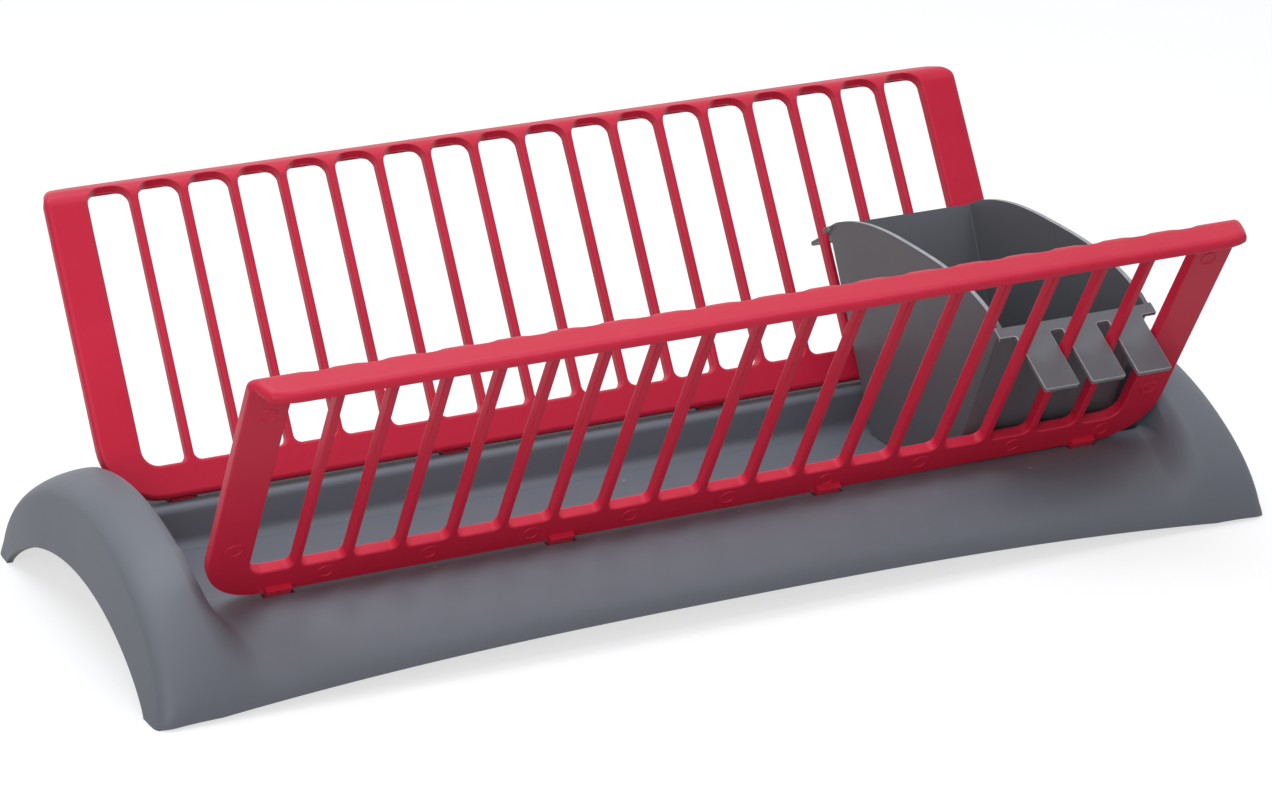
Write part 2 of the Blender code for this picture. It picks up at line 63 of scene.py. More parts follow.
EDGE_MARK = 1  # material index of faces that round an edge, until soften reads it
EDGE_VALUE = "rounded_edge"
CREASE = 40.0  # edges that turn by more degrees than this stay sharp
SHARP_TURN = 60.0  # edges that turn by more degrees than this get rounded
CUT_MARGIN = 0.01  # a cutter reaches past what it cuts by this
SEAT_GAP = 0.0003  # between pieces that rest on each other
BARS = 17
PITCH = 0.022
BAR_WIDTH = 0.0033
STILE = 0.018
RACK_HALF_LENGTH = BARS * PITCH / 2 + (PITCH - BAR_WIDTH) / 2 + STILE


def length(name, description, default):
    return FloatProperty(
        name=name, description=description, default=default, unit="LENGTH", precision=4, min=0.0)


def angle(name, description, degrees):
    return FloatProperty(
        name=name, description=description, default=radians(degrees), subtype="ANGLE", min=0.0, max=pi)


def share(name, description, default):
    return FloatProperty(
        name=name, description=description, default=default, subtype="FACTOR", min=0.0, max=1.0)


def colour(name, description, default):
    return FloatVectorProperty(
        name=name, description=description, default=default, subtype="COLOR", size=3, min=0.0, max=1.0)


class RackSizes(PropertyGroup):
    pitch: length("Bar pitch", "From bar to bar", PITCH)
    bars: IntProperty(name="Bars", description="Bars between the two stiles", default=BARS, min=3)
    bar_width: length("Bar width", "Width of a bar, seen square on", BAR_WIDTH)
    thickness: length("Thickness", "Of the leaning face", 0.0055)
    height: length("Height", "Up the leaning face, to the curl of the rail", 0.13515)
    sill: length("Sill", "Below the slots", 0.014)
    stile: length("Stile width", "Of the strip at each end", STILE)
    lean: angle("Lean", "Of each rack, away from upright", 31.0)
    low_corner: length("Low corner", "Radius of the lower corners", 0.025)
    top_corner: length("Top corner", "Radius of the upper corners", 0.009)
    slot_low: length("Slot corner", "Radius at the foot of a slot", 0.0034)
    slot_end: length("End slot corner", "Radius at the foot of the outermost slots", 0.007)
    slot_top: length("Slot arch", "Radius at the top of a slot", 0.0075)
    slot_margin: length("Slot margin", "Left of the rail above a slot", 0.0015)
    slot_draft: length("Slot draft", "Of the arch, toward the outer side", 0.0021)
    slot_reach: length("Slot reach", "Of a slot's arch into the lip", 0.0025)
    bend: length("Rail bend", "Outside radius of the rail's curl", 0.00775)
    turn: angle("Rail turn", "How far the rail curls over", 71.0)
    lip_reach: length("Lip reach", "Of the lip past the outer face", 0.01075)
    lip_thickness: length("Lip thickness", "At the lip's edge", 0.0044)
    lip_corner: length("Lip corner", "The lip fades out over this", 0.018)
    face_round: length("Face rounding", "Of the edges on the plates' side", 0.0021)
    bar_round: length("Bar rounding", "Of the bars' edges on the plates' side", 0.00135)
    back_round: length("Back rounding", "Of the edges on the outer side", 0.0008)
    lip_round: length("Lip rounding", "Of the lip's upper edge", 0.0034)
    tab_width: length("Tab width", "Of the tabs that plug into the stand", 0.011)
    tab_drop: length("Tab drop", "Of the tabs below the rack", 0.008)
    pin_mark: length("Pin mark", "Radius of the pins' rings", 0.0033)


class StandSizes(PropertyGroup):
    wall: length("Wall", "Thickness of the moulding", 0.0025)
    tray_floor: length("Tray floor", "Height of the top of the tray's floor", 0.011)
    tray_depth: length("Tray half depth", "At the top of the tray's wall", 0.046)
    tray_fillet: length("Tray fillet", "Between floor and wall", 0.005)
    crest_height: length("Crest height", "Where the racks stand", 0.0283)
    crest_radius: length("Crest radius", "Of the crest's inner edge", 0.0038)
    foot_depth: length("Foot half depth", "At the long lower edges", 0.1005)
    skirt_rise: length("Skirt rise", "Of the long lower edges at mid length", 0.0103)
    ridge_height: length("Ridge height", "Of the two end walls", BASE_TOP.z)
    end_run: length("End run", "From the rack's end to the foot's end", BASE_TOP.x - RACK_HALF_LENGTH)
    arch_span: length("Arch half span", "Of the arch under each end", 0.0925)
    arch_rise: length("Arch rise", "Of the arch under each end", 0.028)
    edge_round: length("Edge rounding", "Of the moulding's free edges", 0.0006)


class HolderSizes(PropertyGroup):
    slot: FloatProperty(name="Place", description="In bar pitches from the middle",
                        default=7.5)
    tongues: IntProperty(name="Tongues", description="On each side", default=3, min=1)
    side: length("Side", "Past the outer slots' pitch", 0.003)
    wall: length("Wall", "Thickness of the box", 0.002)
    foot_gap: length("Foot gap", "From the tray wall, at the tray floor", 0.0085)
    rim_height: length("Rim height", "Of the long walls", 0.094)
    rim_gap: length("Rim gap", "From the rack's inner face", 0.0115)
    arch_rise: length("Arch rise", "Of the side walls above the rim", 0.014)
    corner: length("Corner", "Radius of the upright corners", 0.005)
    inner_corner: length("Inner corner", "Radius of the upright corners inside", 0.0005)
    comb: length("Comb thickness", "Of the tongues", 0.002)
    comb_slope: angle("Comb slope", "Of the tongues below level", 30.3)
    comb_root: length("Comb root", "Of the strip under the tongues", 0.0032)
    tongue_play: length("Tongue play", "To the bar on each side", 0.0013)
    overhang: length("Overhang", "Of the tongues past the rack", 0.017)
    edge_round: length("Edge rounding", "Of the combs' free edges", 0.00035)


class Finishes(PropertyGroup):
    rack: colour("Rack", "Colour of the racks", (0.62, 0.017, 0.052))
    rack_deep: colour("Rack, deep", "Where the racks' colour gathers", (0.54, 0.011, 0.040))
    # Pale colour of the racks' rounded edges: wear, and a painted highlight
    rack_edge: colour("Rack edges", "Of the racks' worn edges", (0.80, 0.10, 0.16))
    stand: colour("Stand", "Colour of the stand", (0.136, 0.146, 0.171))
    stand_deep: colour("Stand, deep", "Where the stand's colour gathers", (0.120, 0.129, 0.151))
    # Pale colour of the stand's rounded edges: wear, and a painted highlight
    stand_edge: colour("Stand edges", "Of the stand's worn edges", (0.30, 0.31, 0.34))
    holder: colour("Holder", "Colour of the cutlery holder", (0.124, 0.127, 0.139))
    # Pale colour of the holder's rounded edges and rims: wear, and a painted highlight
    holder_edge: colour("Holder edges", "Of the holder's worn edges", (0.47, 0.47, 0.48))
    dust: colour("Dust", "Colour of settled dust", (0.55, 0.54, 0.52))
    rack_roughness: share("Rack roughness", "Of the racks' surface", 0.42)
    stand_roughness: share("Stand roughness", "Of the stand's surface", 0.52)
    holder_roughness: share("Holder roughness", "Of the holder's surface", 0.48)


# Mesh helpers


def arc(centre, radius, start, end, steps):
    """Points of an arc from start to end, in degrees."""
    turns = [radians(start + (end - start) * i / steps) for i in range(steps + 1)]
    return [(centre[0] + radius * cos(turn), centre[1] + radius * sin(turn)) for turn in turns]


def rounding(radius, steps):
    """Pairs (in from the side, down from the face) over a rounded edge, from face to side."""
    turns = [radians(90.0 * i / steps) for i in range(steps + 1)]
    return [(radius * (1.0 - sin(turn)), radius * (1.0 - cos(turn))) for turn in turns]


def centred(count, pitch):
    """Evenly spaced places about 0."""
    return [(i - (count - 1) / 2) * pitch for i in range(count)]


def share_of(value):
    """The value, held between 0 and 1."""
    return min(max(value, 0.0), 1.0)


def eased(share):
    """A share that starts and ends gently."""
    return share * share * (3.0 - 2.0 * share)


def full_curve(share, power):
    """Falls from 1 to 0 as the share grows, in a fuller curve than a circle's."""
    return (1.0 - share ** power) ** (1.0 / power)


def prism(bm, outline, axis, low, high):
    """Add a closed prism: a flat outline carried along one axis from low to high."""
    order = {"X": (2, 0, 1), "Z": (0, 1, 2)}[axis]
    near, far = [[bm.verts.new([(a, b, level)[i] for i in order]) for a, b in outline]
                 for level in (low, high)]
    bm.faces.new(near)
    bm.faces.new(reversed(far))
    join_rings(bm, near, far)


def join_rings(bm, near, far, rounded=False):
    """Quads between two closed rings of vertices, marked where they round an edge."""
    count = len(near)
    for i in range(count):
        j = (i + 1) % count
        face = bm.faces.new((near[i], near[j], far[j], far[i]))
        face.material_index = EDGE_MARK if rounded else 0


def loft(bm, columns, plain_ring=None):
    """Close columns of vertices, one at each point of an outline, into a solid."""
    rings = list(zip(*columns))
    for i, (near, far) in enumerate(zip(rings, rings[1:])):
        join_rings(bm, near, far, rounded=i != plain_ring)
    bm.faces.new(reversed(rings[0]))
    bm.faces.new(rings[-1])


def box(bm, low, high):
    """Add a box between two corners and return its vertices."""
    size = [h - l for l, h in zip(low, high)]
    middle = [(h + l) / 2 for l, h in zip(low, high)]
    matrix = Matrix.Translation(middle) @ Matrix.Diagonal((*size, 1.0))
    return bmesh.ops.create_cube(bm, size=1.0, matrix=matrix)["verts"]


def mesh_from(name, bm, turn_out=True):
    """Turn a bmesh into a mesh, with its faces pointing out if asked."""
    if turn_out:
        bmesh.ops.recalc_face_normals(bm, faces=bm.faces)
    mesh = bpy.data.meshes.new(name)
    bm.to_mesh(mesh)
    bm.free()
    return mesh


def add_object(data):
    """Put an object in the scene for a mesh, a lamp or a camera, under the same name."""
    obj = bpy.data.objects.new(data.name, data)
    bpy.context.scene.collection.objects.link(obj)
    return obj


def round_edges(obj, width, segments):
    """Bevel the sharp edges, and mark the faces that come of it."""
    bevel = obj.modifiers.new("rounded edges", "BEVEL")
    bevel.width = width
    bevel.segments = segments
    bevel.limit_method = "ANGLE"
    bevel.angle_limit = radians(SHARP_TURN)
    bevel.material = EDGE_MARK


def combine(obj, steps):
    """Boolean the object with each (operation, mesh), then keep only the result's mesh."""
    others = [add_object(mesh) for _, mesh in steps]
    # With two slots on each mesh, the marks of rounded edges survive the modifiers
    for operand in [obj] + others:
        while len(operand.data.materials) < 2:
            operand.data.materials.append(None)
    for (operation, _), other in zip(steps, others):
        modifier = obj.modifiers.new(operation, "BOOLEAN")
        modifier.operation = operation
        modifier.solver = "EXACT"
        modifier.object = other
    graph = bpy.context.evaluated_depsgraph_get()
    result = bpy.data.meshes.new_from_object(obj.evaluated_get(graph))
    for operand in [obj] + others:
        bpy.data.objects.remove(operand, do_unlink=True)
    if not result.polygons:
        raise RuntimeError("nothing is left of a boolean")
    return result


def soften(mesh, crease=CREASE):
    """Shade smooth, and keep the marks of rounded edges as a face value that finishes can read."""
    marks = [float(polygon.material_index == EDGE_MARK) for polygon in mesh.polygons]
    edge = mesh.attributes.new(EDGE_VALUE, "FLOAT", "FACE")
    edge.data.foreach_set("value", marks)
    mesh.polygons.foreach_set("material_index", [0] * len(mesh.polygons))
    mesh.shade_smooth()
    mesh.set_sharp_from_angle(angle=radians(crease))


def add_piece(name, mesh, material, body, node):
    """Put a finished mesh in the scene, on its body and in its node's place."""
    mesh.name = name
    mesh.materials.clear()
    mesh.materials.append(material)
    obj = add_object(mesh)
    weighted = obj.modifiers.new("even shading", "WEIGHTED_NORMAL")
    weighted.keep_sharp = True
    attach(obj, body)
    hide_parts(node)


# Finishes

PLASTIC_IOR = 1.49
GRAIN_HEIGHT = 0.0002
MIX_LOW, MIX_HIGH, MIX_RESULT = 6, 7, 2  # a Mix node's colour inputs and output
# edge: how much of the pale edge colour, wear and painted highlight, the rounded edges take
LOOKS = {
    "rack": {"flow_scale": 9.0, "edge": 0.12, "breaks": 0.9, "dust": 0.03, "specks": 0.12, "swell": 1.6,
             "grain_scale": 700.0, "grain": 0.10, "sheen_spread": 0.05, "specular": 0.22},
    "stand": {"flow_scale": 6.0, "edge": 0.4, "breaks": 0.9, "dust": 0.06, "specks": 0.25, "swell": 2.0,
              "grain_scale": 1100.0, "grain": 0.14, "sheen_spread": 0.05, "specular": 0.4},
    "holder": {"flow_scale": 8.0, "edge": 1.0, "breaks": 0.8, "dust": 0.03, "specks": 0.2, "swell": 1.0,
               "grain_scale": 1000.0, "grain": 0.12, "sheen_spread": 0.04, "specular": 0.35},
}


def put(tree, value, socket):
    """Feed a socket from another node's output, or give it a plain value."""
    if isinstance(value, bpy.types.NodeSocket):
        tree.links.new(value, socket)
    elif socket.type == "RGBA":
        socket.default_value = (*value, 1.0)
    else:
        socket.default_value = value


def feed(tree, node, inputs):
    """Feed a node's named inputs; an underscore in a name stands for a space."""
    for name, value in inputs.items():
        put(tree, value, node.inputs[name.replace("_", " ")])


def add_node(tree, kind, output, **inputs):
    """Add a node, feed its inputs and return one of its outputs."""
    node = tree.nodes.new("ShaderNode" + kind)
    feed(tree, node, inputs)
    return node.outputs[output]


def maths(tree, operation, *values, clamp=False):
    """Add a math node, feed its inputs in order and return its output."""
    node = tree.nodes.new("ShaderNodeMath")
    node.operation = operation
    node.use_clamp = clamp
    for value, socket in zip(values, node.inputs):
        put(tree, value, socket)
    return node.outputs[0]


def mould_grain(tree, given, place):
    """Fine texture of a spark-eroded mould, with a slow swell under it."""
    fine = add_node(tree, "TexNoise", "Fac", Vector=place, Scale=given["Scale"], Detail=3.0, Roughness=0.6)
    slow = add_node(tree, "TexNoise", "Fac", Vector=place, Scale=22.0, Detail=1.0)
    return maths(tree, "MULTIPLY_ADD", slow, given["Swell"], fine)


def flow_drift(tree, given, place):
    """Slow drift of tone along the way the plastic ran into the mould."""
    stretched = add_node(tree, "Mapping", "Vector", Vector=place, Scale=(0.35, 1.0, 1.0))
    noise = add_node(
        tree, "TexNoise", "Fac", Vector=stretched, Scale=given["Scale"], Detail=4.0, Distortion=0.6)
    spread = add_node(tree, "MapRange", "Result", Value=noise, From_Min=0.3, From_Max=0.7)
    return maths(tree, "POWER", spread, given["Contrast"])


def edge_wear_and_highlight(tree, given, place):
    """Mask of the rounded edges, broken up by noise: wear, and a painted highlight along the edges."""
    edge = tree.nodes.new("ShaderNodeAttribute")
    edge.attribute_name = EDGE_VALUE
    noise = add_node(tree, "TexNoise", "Fac", Vector=place, Scale=180.0, Detail=3.0)
    kept = maths(tree, "SUBTRACT", 1.0, maths(tree, "MULTIPLY", noise, given["Breaks"]), clamp=True)
    broken = maths(tree, "MULTIPLY", edge.outputs["Fac"], kept)
    return maths(tree, "MULTIPLY", broken, given["Amount"])


def settled_dust(tree, given, place):
    """Mask of dust and water specks on surfaces that face up."""
    normal = add_node(tree, "NewGeometry", "Normal")
    height = add_node(tree, "SeparateXYZ", "Z", Vector=normal)
    upward = add_node(tree, "MapRange", "Result", Value=height, From_Min=0.5)
    noise = add_node(tree, "TexNoise", "Fac", Vector=place, Scale=60.0, Detail=6.0)
    cells = add_node(tree, "TexVoronoi", "Distance", Vector=place, Scale=45.0)
    dots = add_node(tree, "MapRange", "Result", Value=cells, From_Min=0.05, From_Max=0.03)
    film = maths(tree, "MULTIPLY", noise, given["Amount"])
    total = maths(tree, "MULTIPLY_ADD", dots, given["Specks"], film)
    return maths(tree, "MULTIPLY", total, upward, clamp=True)


# What wires each effect, what it gives and its inputs
EFFECTS = {
    "mould_grain": (mould_grain, "Height", {"Scale": 900.0, "Swell": 0.3}),
    "flow_drift": (flow_drift, "Drift", {"Scale": 9.0, "Contrast": 1.0}),
    "edge_wear_and_highlight": (edge_wear_and_highlight, "Mask", {"Amount": 1.0, "Breaks": 0.6}),
    "settled_dust": (settled_dust, "Mask", {"Amount": 0.15, "Specks": 0.4}),
}


def effect_group(name):
    """Build an effect's node group, of float sockets."""
    wire, output, inputs = EFFECTS[name]
    tree = bpy.data.node_groups.new(name, "ShaderNodeTree")
    for label, value in inputs.items():
        socket = tree.interface.new_socket(name=label, in_out="INPUT", socket_type="NodeSocketFloat")
        socket.default_value = value
    tree.interface.new_socket(name=output, in_out="OUTPUT", socket_type="NodeSocketFloat")
    given = tree.nodes.new("NodeGroupInput").outputs
    result = tree.nodes.new("NodeGroupOutput").inputs[output]
    tree.links.new(wire(tree, given, add_node(tree, "TexCoord", "Object")), result)
    return tree


def effect(tree, name, **inputs):
    """Place a shared effect in a material and return its output."""
    node = tree.nodes.new("ShaderNodeGroup")
    node.node_tree = bpy.data.node_groups.get(name) or effect_group(name)
    feed(tree, node, inputs)
    return node.outputs[0]


def mix_colour(tree, mask, low, high):
    """Mix two colours by a mask; each is a colour or another node's output."""
    node = tree.nodes.new("ShaderNodeMix")
    node.data_type = "RGBA"
    put(tree, mask, node.inputs["Factor"])
    put(tree, low, node.inputs[MIX_LOW])
    put(tree, high, node.inputs[MIX_HIGH])
    return node.outputs[MIX_RESULT]


def moulded_plastic(name, part):
    """Moulded plastic: drifting tone, pale edges that are wear and a painted highlight, dust on what faces
    up, fine grain.
    """
    look = LOOKS[part]
    finish = bpy.context.scene.rack_finishes
    plain = getattr(finish, part)
    roughness = getattr(finish, part + "_roughness")
    spread = look["sheen_spread"]
    material = bpy.data.materials.new(name)
    material.use_nodes = True
    tree = material.node_tree
    material.diffuse_color = (*plain, 1.0)
    drift = effect(tree, "flow_drift", Scale=look["flow_scale"], Contrast=1.0)
    wear_and_highlight = effect(tree, "edge_wear_and_highlight", Amount=look["edge"], Breaks=look["breaks"])
    dust = effect(tree, "settled_dust", Amount=look["dust"], Specks=look["specks"])
    grain = effect(tree, "mould_grain", Scale=look["grain_scale"], Swell=look["swell"])
    base = mix_colour(tree, drift, plain, getattr(finish, part + "_deep", plain))
    # Pale edge colour on the rounded edges: wear, and a painted highlight
    worn_and_highlit = mix_colour(tree, wear_and_highlight, base, getattr(finish, part + "_edge"))
    dusty = mix_colour(tree, dust, worn_and_highlit, finish.dust)
    sheen = add_node(
        tree, "MapRange", "Result", Value=drift, To_Min=roughness - spread, To_Max=roughness + spread)
    bump = add_node(tree, "Bump", "Normal", Strength=look["grain"], Distance=GRAIN_HEIGHT, Height=grain)
    feed(tree, tree.nodes["Principled BSDF"], {
        "Base Color": dusty, "Roughness": sheen, "IOR": PLASTIC_IOR,
        "Specular IOR Level": look["specular"], "Normal": bump})
    return material


# Places shared by the pieces

RACK_INSET = 0.0004  # of a rack's foot, from the tray side of the crest
TAB_PLACES = (-0.182, -0.0605, 0.0605, 0.182)
TAB_THICKNESS = 0.003
TAB_SINK = 0.0005  # of a tab inside the sill
TAB_RISE = 0.004  # of a tab and its slot, above the rack's foot
TAB_TAPER = 0.0012
TAB_ROUND = 0.0004
TAB_SIDE_PLAY = 0.0012
TAB_FACE_PLAY = 0.0004
TAB_END_PLAY = 0.001


def crest_y(stand):
    """Distance from the middle to the top of the crest."""
    return stand.tray_depth + stand.crest_radius


def rack_half(rack):
    """Half of a rack's length."""
    return rack.bars * rack.pitch / 2 + (rack.pitch - rack.bar_width) / 2 + rack.stile


def tab_boxes(bm, rack, side_play=0.0, face_play=0.0, end_play=0.0):
    """A box for each tab, larger than it by the plays: pairs (place, vertices)."""
    sunk = rack.thickness / 2 - TAB_SINK
    half = rack.tab_width / 2 + side_play
    outer = -(sunk + TAB_THICKNESS + face_play)
    inner = -(sunk - face_play)
    foot = -rack.tab_drop - end_play
    return [(x, box(bm, (x - half, outer, foot), (x + half, inner, TAB_RISE))) for x in TAB_PLACES]


def rack_foot(rack, stand):
    """Distance from the middle and height of a rack's foot, at mid thickness."""
    half = rack.thickness / 2
    y = crest_y(stand) + half * cos(rack.lean) - RACK_INSET
    z = stand.crest_height + SEAT_GAP + half * sin(rack.lean)
    return y, z


def rack_matrix(rack, stand, side):
    """From the upright rack to its place on the stand."""
    y, z = rack_foot(rack, stand)
    turned = Matrix.Rotation(pi if side == "back" else 0.0, 4, "Z")
    return turned @ Matrix.Translation((0.0, -y, z)) @ Matrix.Rotation(rack.lean, 4, "X")


def rack_face_y(rack, stand, z):
    """Distance from the middle of the stand to the middle of a rack, at height z."""
    foot_y, foot_z = rack_foot(rack, stand)
    return foot_y + (z - foot_z) * tan(rack.lean)


# Stand

TRAY_DRAFT = 5.0  # angles in degrees
END_WALL_LEAN = 3.0
APRON_POWER = 2.3
SKIRT_POWER = 2.6
RIDGE_POWER = 1.92
END_ARCH_POWER = 0.9
FOLD_FADE = 0.4
RIDGE_INNER_RADIUS = 0.005
RIDGE_OUTER_RADIUS = 0.0085
ROUND_SHARE = 0.6  # the ridge's round takes at most this share of the end wall
VALLEY_FILLET = 0.004
END_WALL_START = 0.003
END_WALL_FLARE = 0.1
END_WALL_SLANT = 0.18
FOOT_CORNER = 0.008
FOOT_TRIM = 0.001
MIRROR_MERGE = 0.00005
FLOOR_STEPS = 8
FILLET_STEPS = 8
CREST_STEPS = 9
APRON_STEPS = 30
PLAIN_STEPS = 24
INNER_WALL_STEPS = 5
ROUND_STEPS = 12
END_WALL_STEPS = 9


def valley_section(stand):
    """Half of the cross-section at mid length: tray floor, tray wall, crest, apron."""
    crest = crest_y(stand)
    drop = stand.crest_height - stand.tray_floor
    floor_y = stand.tray_depth - drop * tan(radians(TRAY_DRAFT)) - stand.tray_fillet
    points = [(floor_y * i / FLOOR_STEPS, stand.tray_floor) for i in range(FLOOR_STEPS)]
    points += arc((floor_y, stand.tray_floor + stand.tray_fillet), stand.tray_fillet,
                  -90.0, -TRAY_DRAFT, FILLET_STEPS)
    points += arc((crest, stand.crest_height - stand.crest_radius), stand.crest_radius,
                  180.0 - TRAY_DRAFT, 90.0, CREST_STEPS)
    for i in range(1, APRON_STEPS + 1):
        turn = radians(90.0 * i / APRON_STEPS)
        across = sin(turn) ** (2.0 / APRON_POWER)
        fall = max(cos(turn), 0.0) ** (2.0 / APRON_POWER)
        y = crest + (stand.foot_depth - crest) * across
        points.append((y, stand.skirt_rise + (stand.crest_height - stand.skirt_rise) * fall))
    return points


def ridge_height_at(stand, y):
    """Height of the end wall's ridge, which falls to nothing at the long lower edges."""
    reach = min(y / stand.foot_depth, 1.0)
    return stand.ridge_height * full_curve(reach, RIDGE_POWER)


def end_arch_height(stand, y):
    """Lower edge of the end wall: an arch between two flat feet."""
    fullness = max(1.0 - (y / stand.arch_span) ** 2, 0.0) ** END_ARCH_POWER
    return (stand.arch_rise + FOOT_TRIM) * fullness - FOOT_TRIM


def inner_wall_stations(stand, start):
    """Stations up the valley's end wall: (x, share of the way up to the ridge)."""
    height = stand.ridge_height - stand.tray_floor
    steep = 90.0 - END_WALL_LEAN
    fillet = arc((start, VALLEY_FILLET), VALLEY_FILLET, -90.0, steep - 90.0, FILLET_STEPS)
    wall_x, wall_z = fillet[-1]
    round_height = RIDGE_INNER_RADIUS * (1.0 - cos(radians(steep)))
    rise = height - round_height - wall_z
    run = rise * tan(radians(END_WALL_LEAN))
    wall = [(wall_x + run * i / INNER_WALL_STEPS, wall_z + rise * i / INNER_WALL_STEPS)
            for i in range(1, INNER_WALL_STEPS)]
    centre = (wall_x + run + RIDGE_INNER_RADIUS * sin(radians(steep)),
              height - RIDGE_INNER_RADIUS)
    crown = arc(centre, RIDGE_INNER_RADIUS, 90.0 + steep, 90.0, FILLET_STEPS)
    return [(x, z / height) for x, z in fillet + wall + crown]


def skirt_edge_height(stand, foot_x, x):
    """Lower edge of the long walls: an arch from foot to foot."""
    return (stand.skirt_rise + FOOT_TRIM) * (1.0 - (x / foot_x) ** SKIRT_POWER) - FOOT_TRIM


def stand_section(stand, foot_x, x, share_up, fold, valley):
    """Section points at a station; the fold runs from the end wall's foot to its ridge."""
    start, ridge_x = fold
    crest = crest_y(stand)
    way = eased(max((x - start) / (ridge_x - start), 0.0))
    points = []
    for y, z in valley:
        out = max((y - crest) / (stand.foot_depth - crest), 0.0)
        spread = out * (ridge_x - max(x, start)) * min(x / start, 1.0)
        share_here = share_up + (way - share_up) * min(out / FOLD_FADE, 1.0)
        edge = skirt_edge_height(stand, foot_x, x - spread)
        low_z = z + (edge - stand.skirt_rise) * out ** 3
        high_z = ridge_height_at(stand, y) + edge * out ** 3
        points.append((x - spread, y, low_z + (high_z - low_z) * share_here))
    return points


def stand_end_rows(stand, foot_x, ridge_x, ridge_points):
    """Rows from the ridge over its outer round and down the end wall to the lower edge."""
    rows = []
    steps = ROUND_STEPS + END_WALL_STEPS
    for step in range(1, steps + 1):
        turn = radians(90.0 * min(step / ROUND_STEPS, 1.0))
        down = max((step - ROUND_STEPS) / END_WALL_STEPS, 0.0)
        out = sin(turn)
        along = out + (step / steps - out) * END_WALL_SLANT
        row = []
        for y, z in ridge_points:
            low_z = end_arch_height(stand, y)
            radius = min(RIDGE_OUTER_RADIUS, ROUND_SHARE * max(z - low_z, 0.0))
            shoulder = z - radius * (1.0 - cos(turn))
            height = shoulder - down * (z - radius - low_z)
            wall_x = foot_x - END_WALL_FLARE * max(height, 0.0)
            x = ridge_x + (wall_x - ridge_x) * along
            past = max((x - (foot_x - FOOT_CORNER)) / FOOT_CORNER, 0.0)
            inset = FOOT_CORNER * (1.0 - sqrt(max(1.0 - past ** 2, 0.0)))
            row.append((x, y * (1.0 - inset / stand.foot_depth), height))
        rows.append(row)
    return rows


def stand_skin(stand, rack):
    """A quarter of the stand's upper surface, lofted from section to section."""
    valley = valley_section(stand)
    half = rack_half(rack)
    foot_x = half + stand.end_run
    start = half - END_WALL_START
    stations = inner_wall_stations(stand, start)
    ridge_x = stations[-1][0]
    plain = [(start * i / PLAIN_STEPS, 0.0) for i in range(PLAIN_STEPS)]
    rows = []
    for x, share_up in plain + stations:
        rows.append(stand_section(stand, foot_x, x, share_up, (start, ridge_x), valley))
    rows += stand_end_rows(stand, foot_x, ridge_x, [(y, z) for _, y, z in rows[-1]])
    bm = bmesh.new()
    grid = [[bm.verts.new(point) for point in row] for row in rows]
    for near, far in zip(grid, grid[1:]):
        for i in range(len(near) - 1):
            bm.faces.new((near[i], far[i], far[i + 1], near[i + 1]))
    return mesh_from("stand_skin", bm, turn_out=False)


def floor_line_cut(reach):
    """Everything below the surface that the stand rests on."""
    bm = bmesh.new()
    box(bm, (-reach, -reach, -CUT_MARGIN), (reach, reach, 0.0))
    return mesh_from("floor_line_cut", bm)


def tab_slot_cut(rack, stand, side):
    """The slots in one crest, cut along the rack's lean."""
    bm = bmesh.new()
    tab_boxes(bm, rack, TAB_SIDE_PLAY, TAB_FACE_PLAY, TAB_END_PLAY)
    mesh = mesh_from("tab_slots", bm)
    mesh.transform(rack_matrix(rack, stand, side))
    return mesh


def stand_mesh(stand, rack):
    """The whole stand: its skin mirrored, given a wall, cut level and slotted."""
    obj = add_object(stand_skin(stand, rack))
    mirror = obj.modifiers.new("halves", "MIRROR")
    mirror.use_axis = (True, True, False)
    mirror.merge_threshold = MIRROR_MERGE
    solidify = obj.modifiers.new("wall", "SOLIDIFY")
    solidify.thickness = stand.wall
    solidify.offset = -1.0
    solidify.use_even_offset = True
    round_edges(obj, stand.edge_round, 2)
    steps = [("DIFFERENCE", floor_line_cut(rack_half(rack) + stand.end_run + CUT_MARGIN))]
    for side in ("front", "back"):
        steps.append(("DIFFERENCE", tab_slot_cut(rack, stand, side)))
    mesh = combine(obj, steps)
    soften(mesh)
    return mesh


# Racks

LIP_POWER = 2.4
LIP_PLAIN = 0.0006  # the lip starts to fade out this far past the outer face
LIP_CUT = 0.004
CORNER_STEPS = 12
RISE_STEPS = 22
PROFILE_STEPS = 6
CURL_CUTS = 9
PLANE_TOUCH = 1e-7
SLOT_LEVELS = (0.3, 0.6, 0.9)
SLOT_LOW_STEPS = 7
SLOT_TOP_STEPS = 10
FLARE_STEPS = 5
FLARE_GROWTH = 1.02
FLARE_LIFT = 0.0002
FLARE_LOSS = 0.6  # share of a bar's rounding that is gone where the rail curls
CURL_BLEND = 0.008
FACE_CLEAR = 0.00001  # keeps the cutters' flares off the plate's own faces
# Centres of the pin marks on a rack's outer side: along in bar pitches, up in metres
SILL_MARKS = (-7.4, -5.4, -3.4, -1.4, 0.6, 2.66, 4.65, 6.66, 8.64)
SILL_MARK_HEIGHT = 0.0078
STILE_MARKS = ((-9.3, 0.032), (9.33, 0.0315), (-9.28, 0.114), (9.28, 0.114))
PIN_RING_RADIUS = 0.0004
PIN_RING_RISE = 0.8
PIN_RING_STEPS = 28
PIN_ARC = 300.0
PIN_ARC_STEPS = 5
RACK_CREASE = 38.0


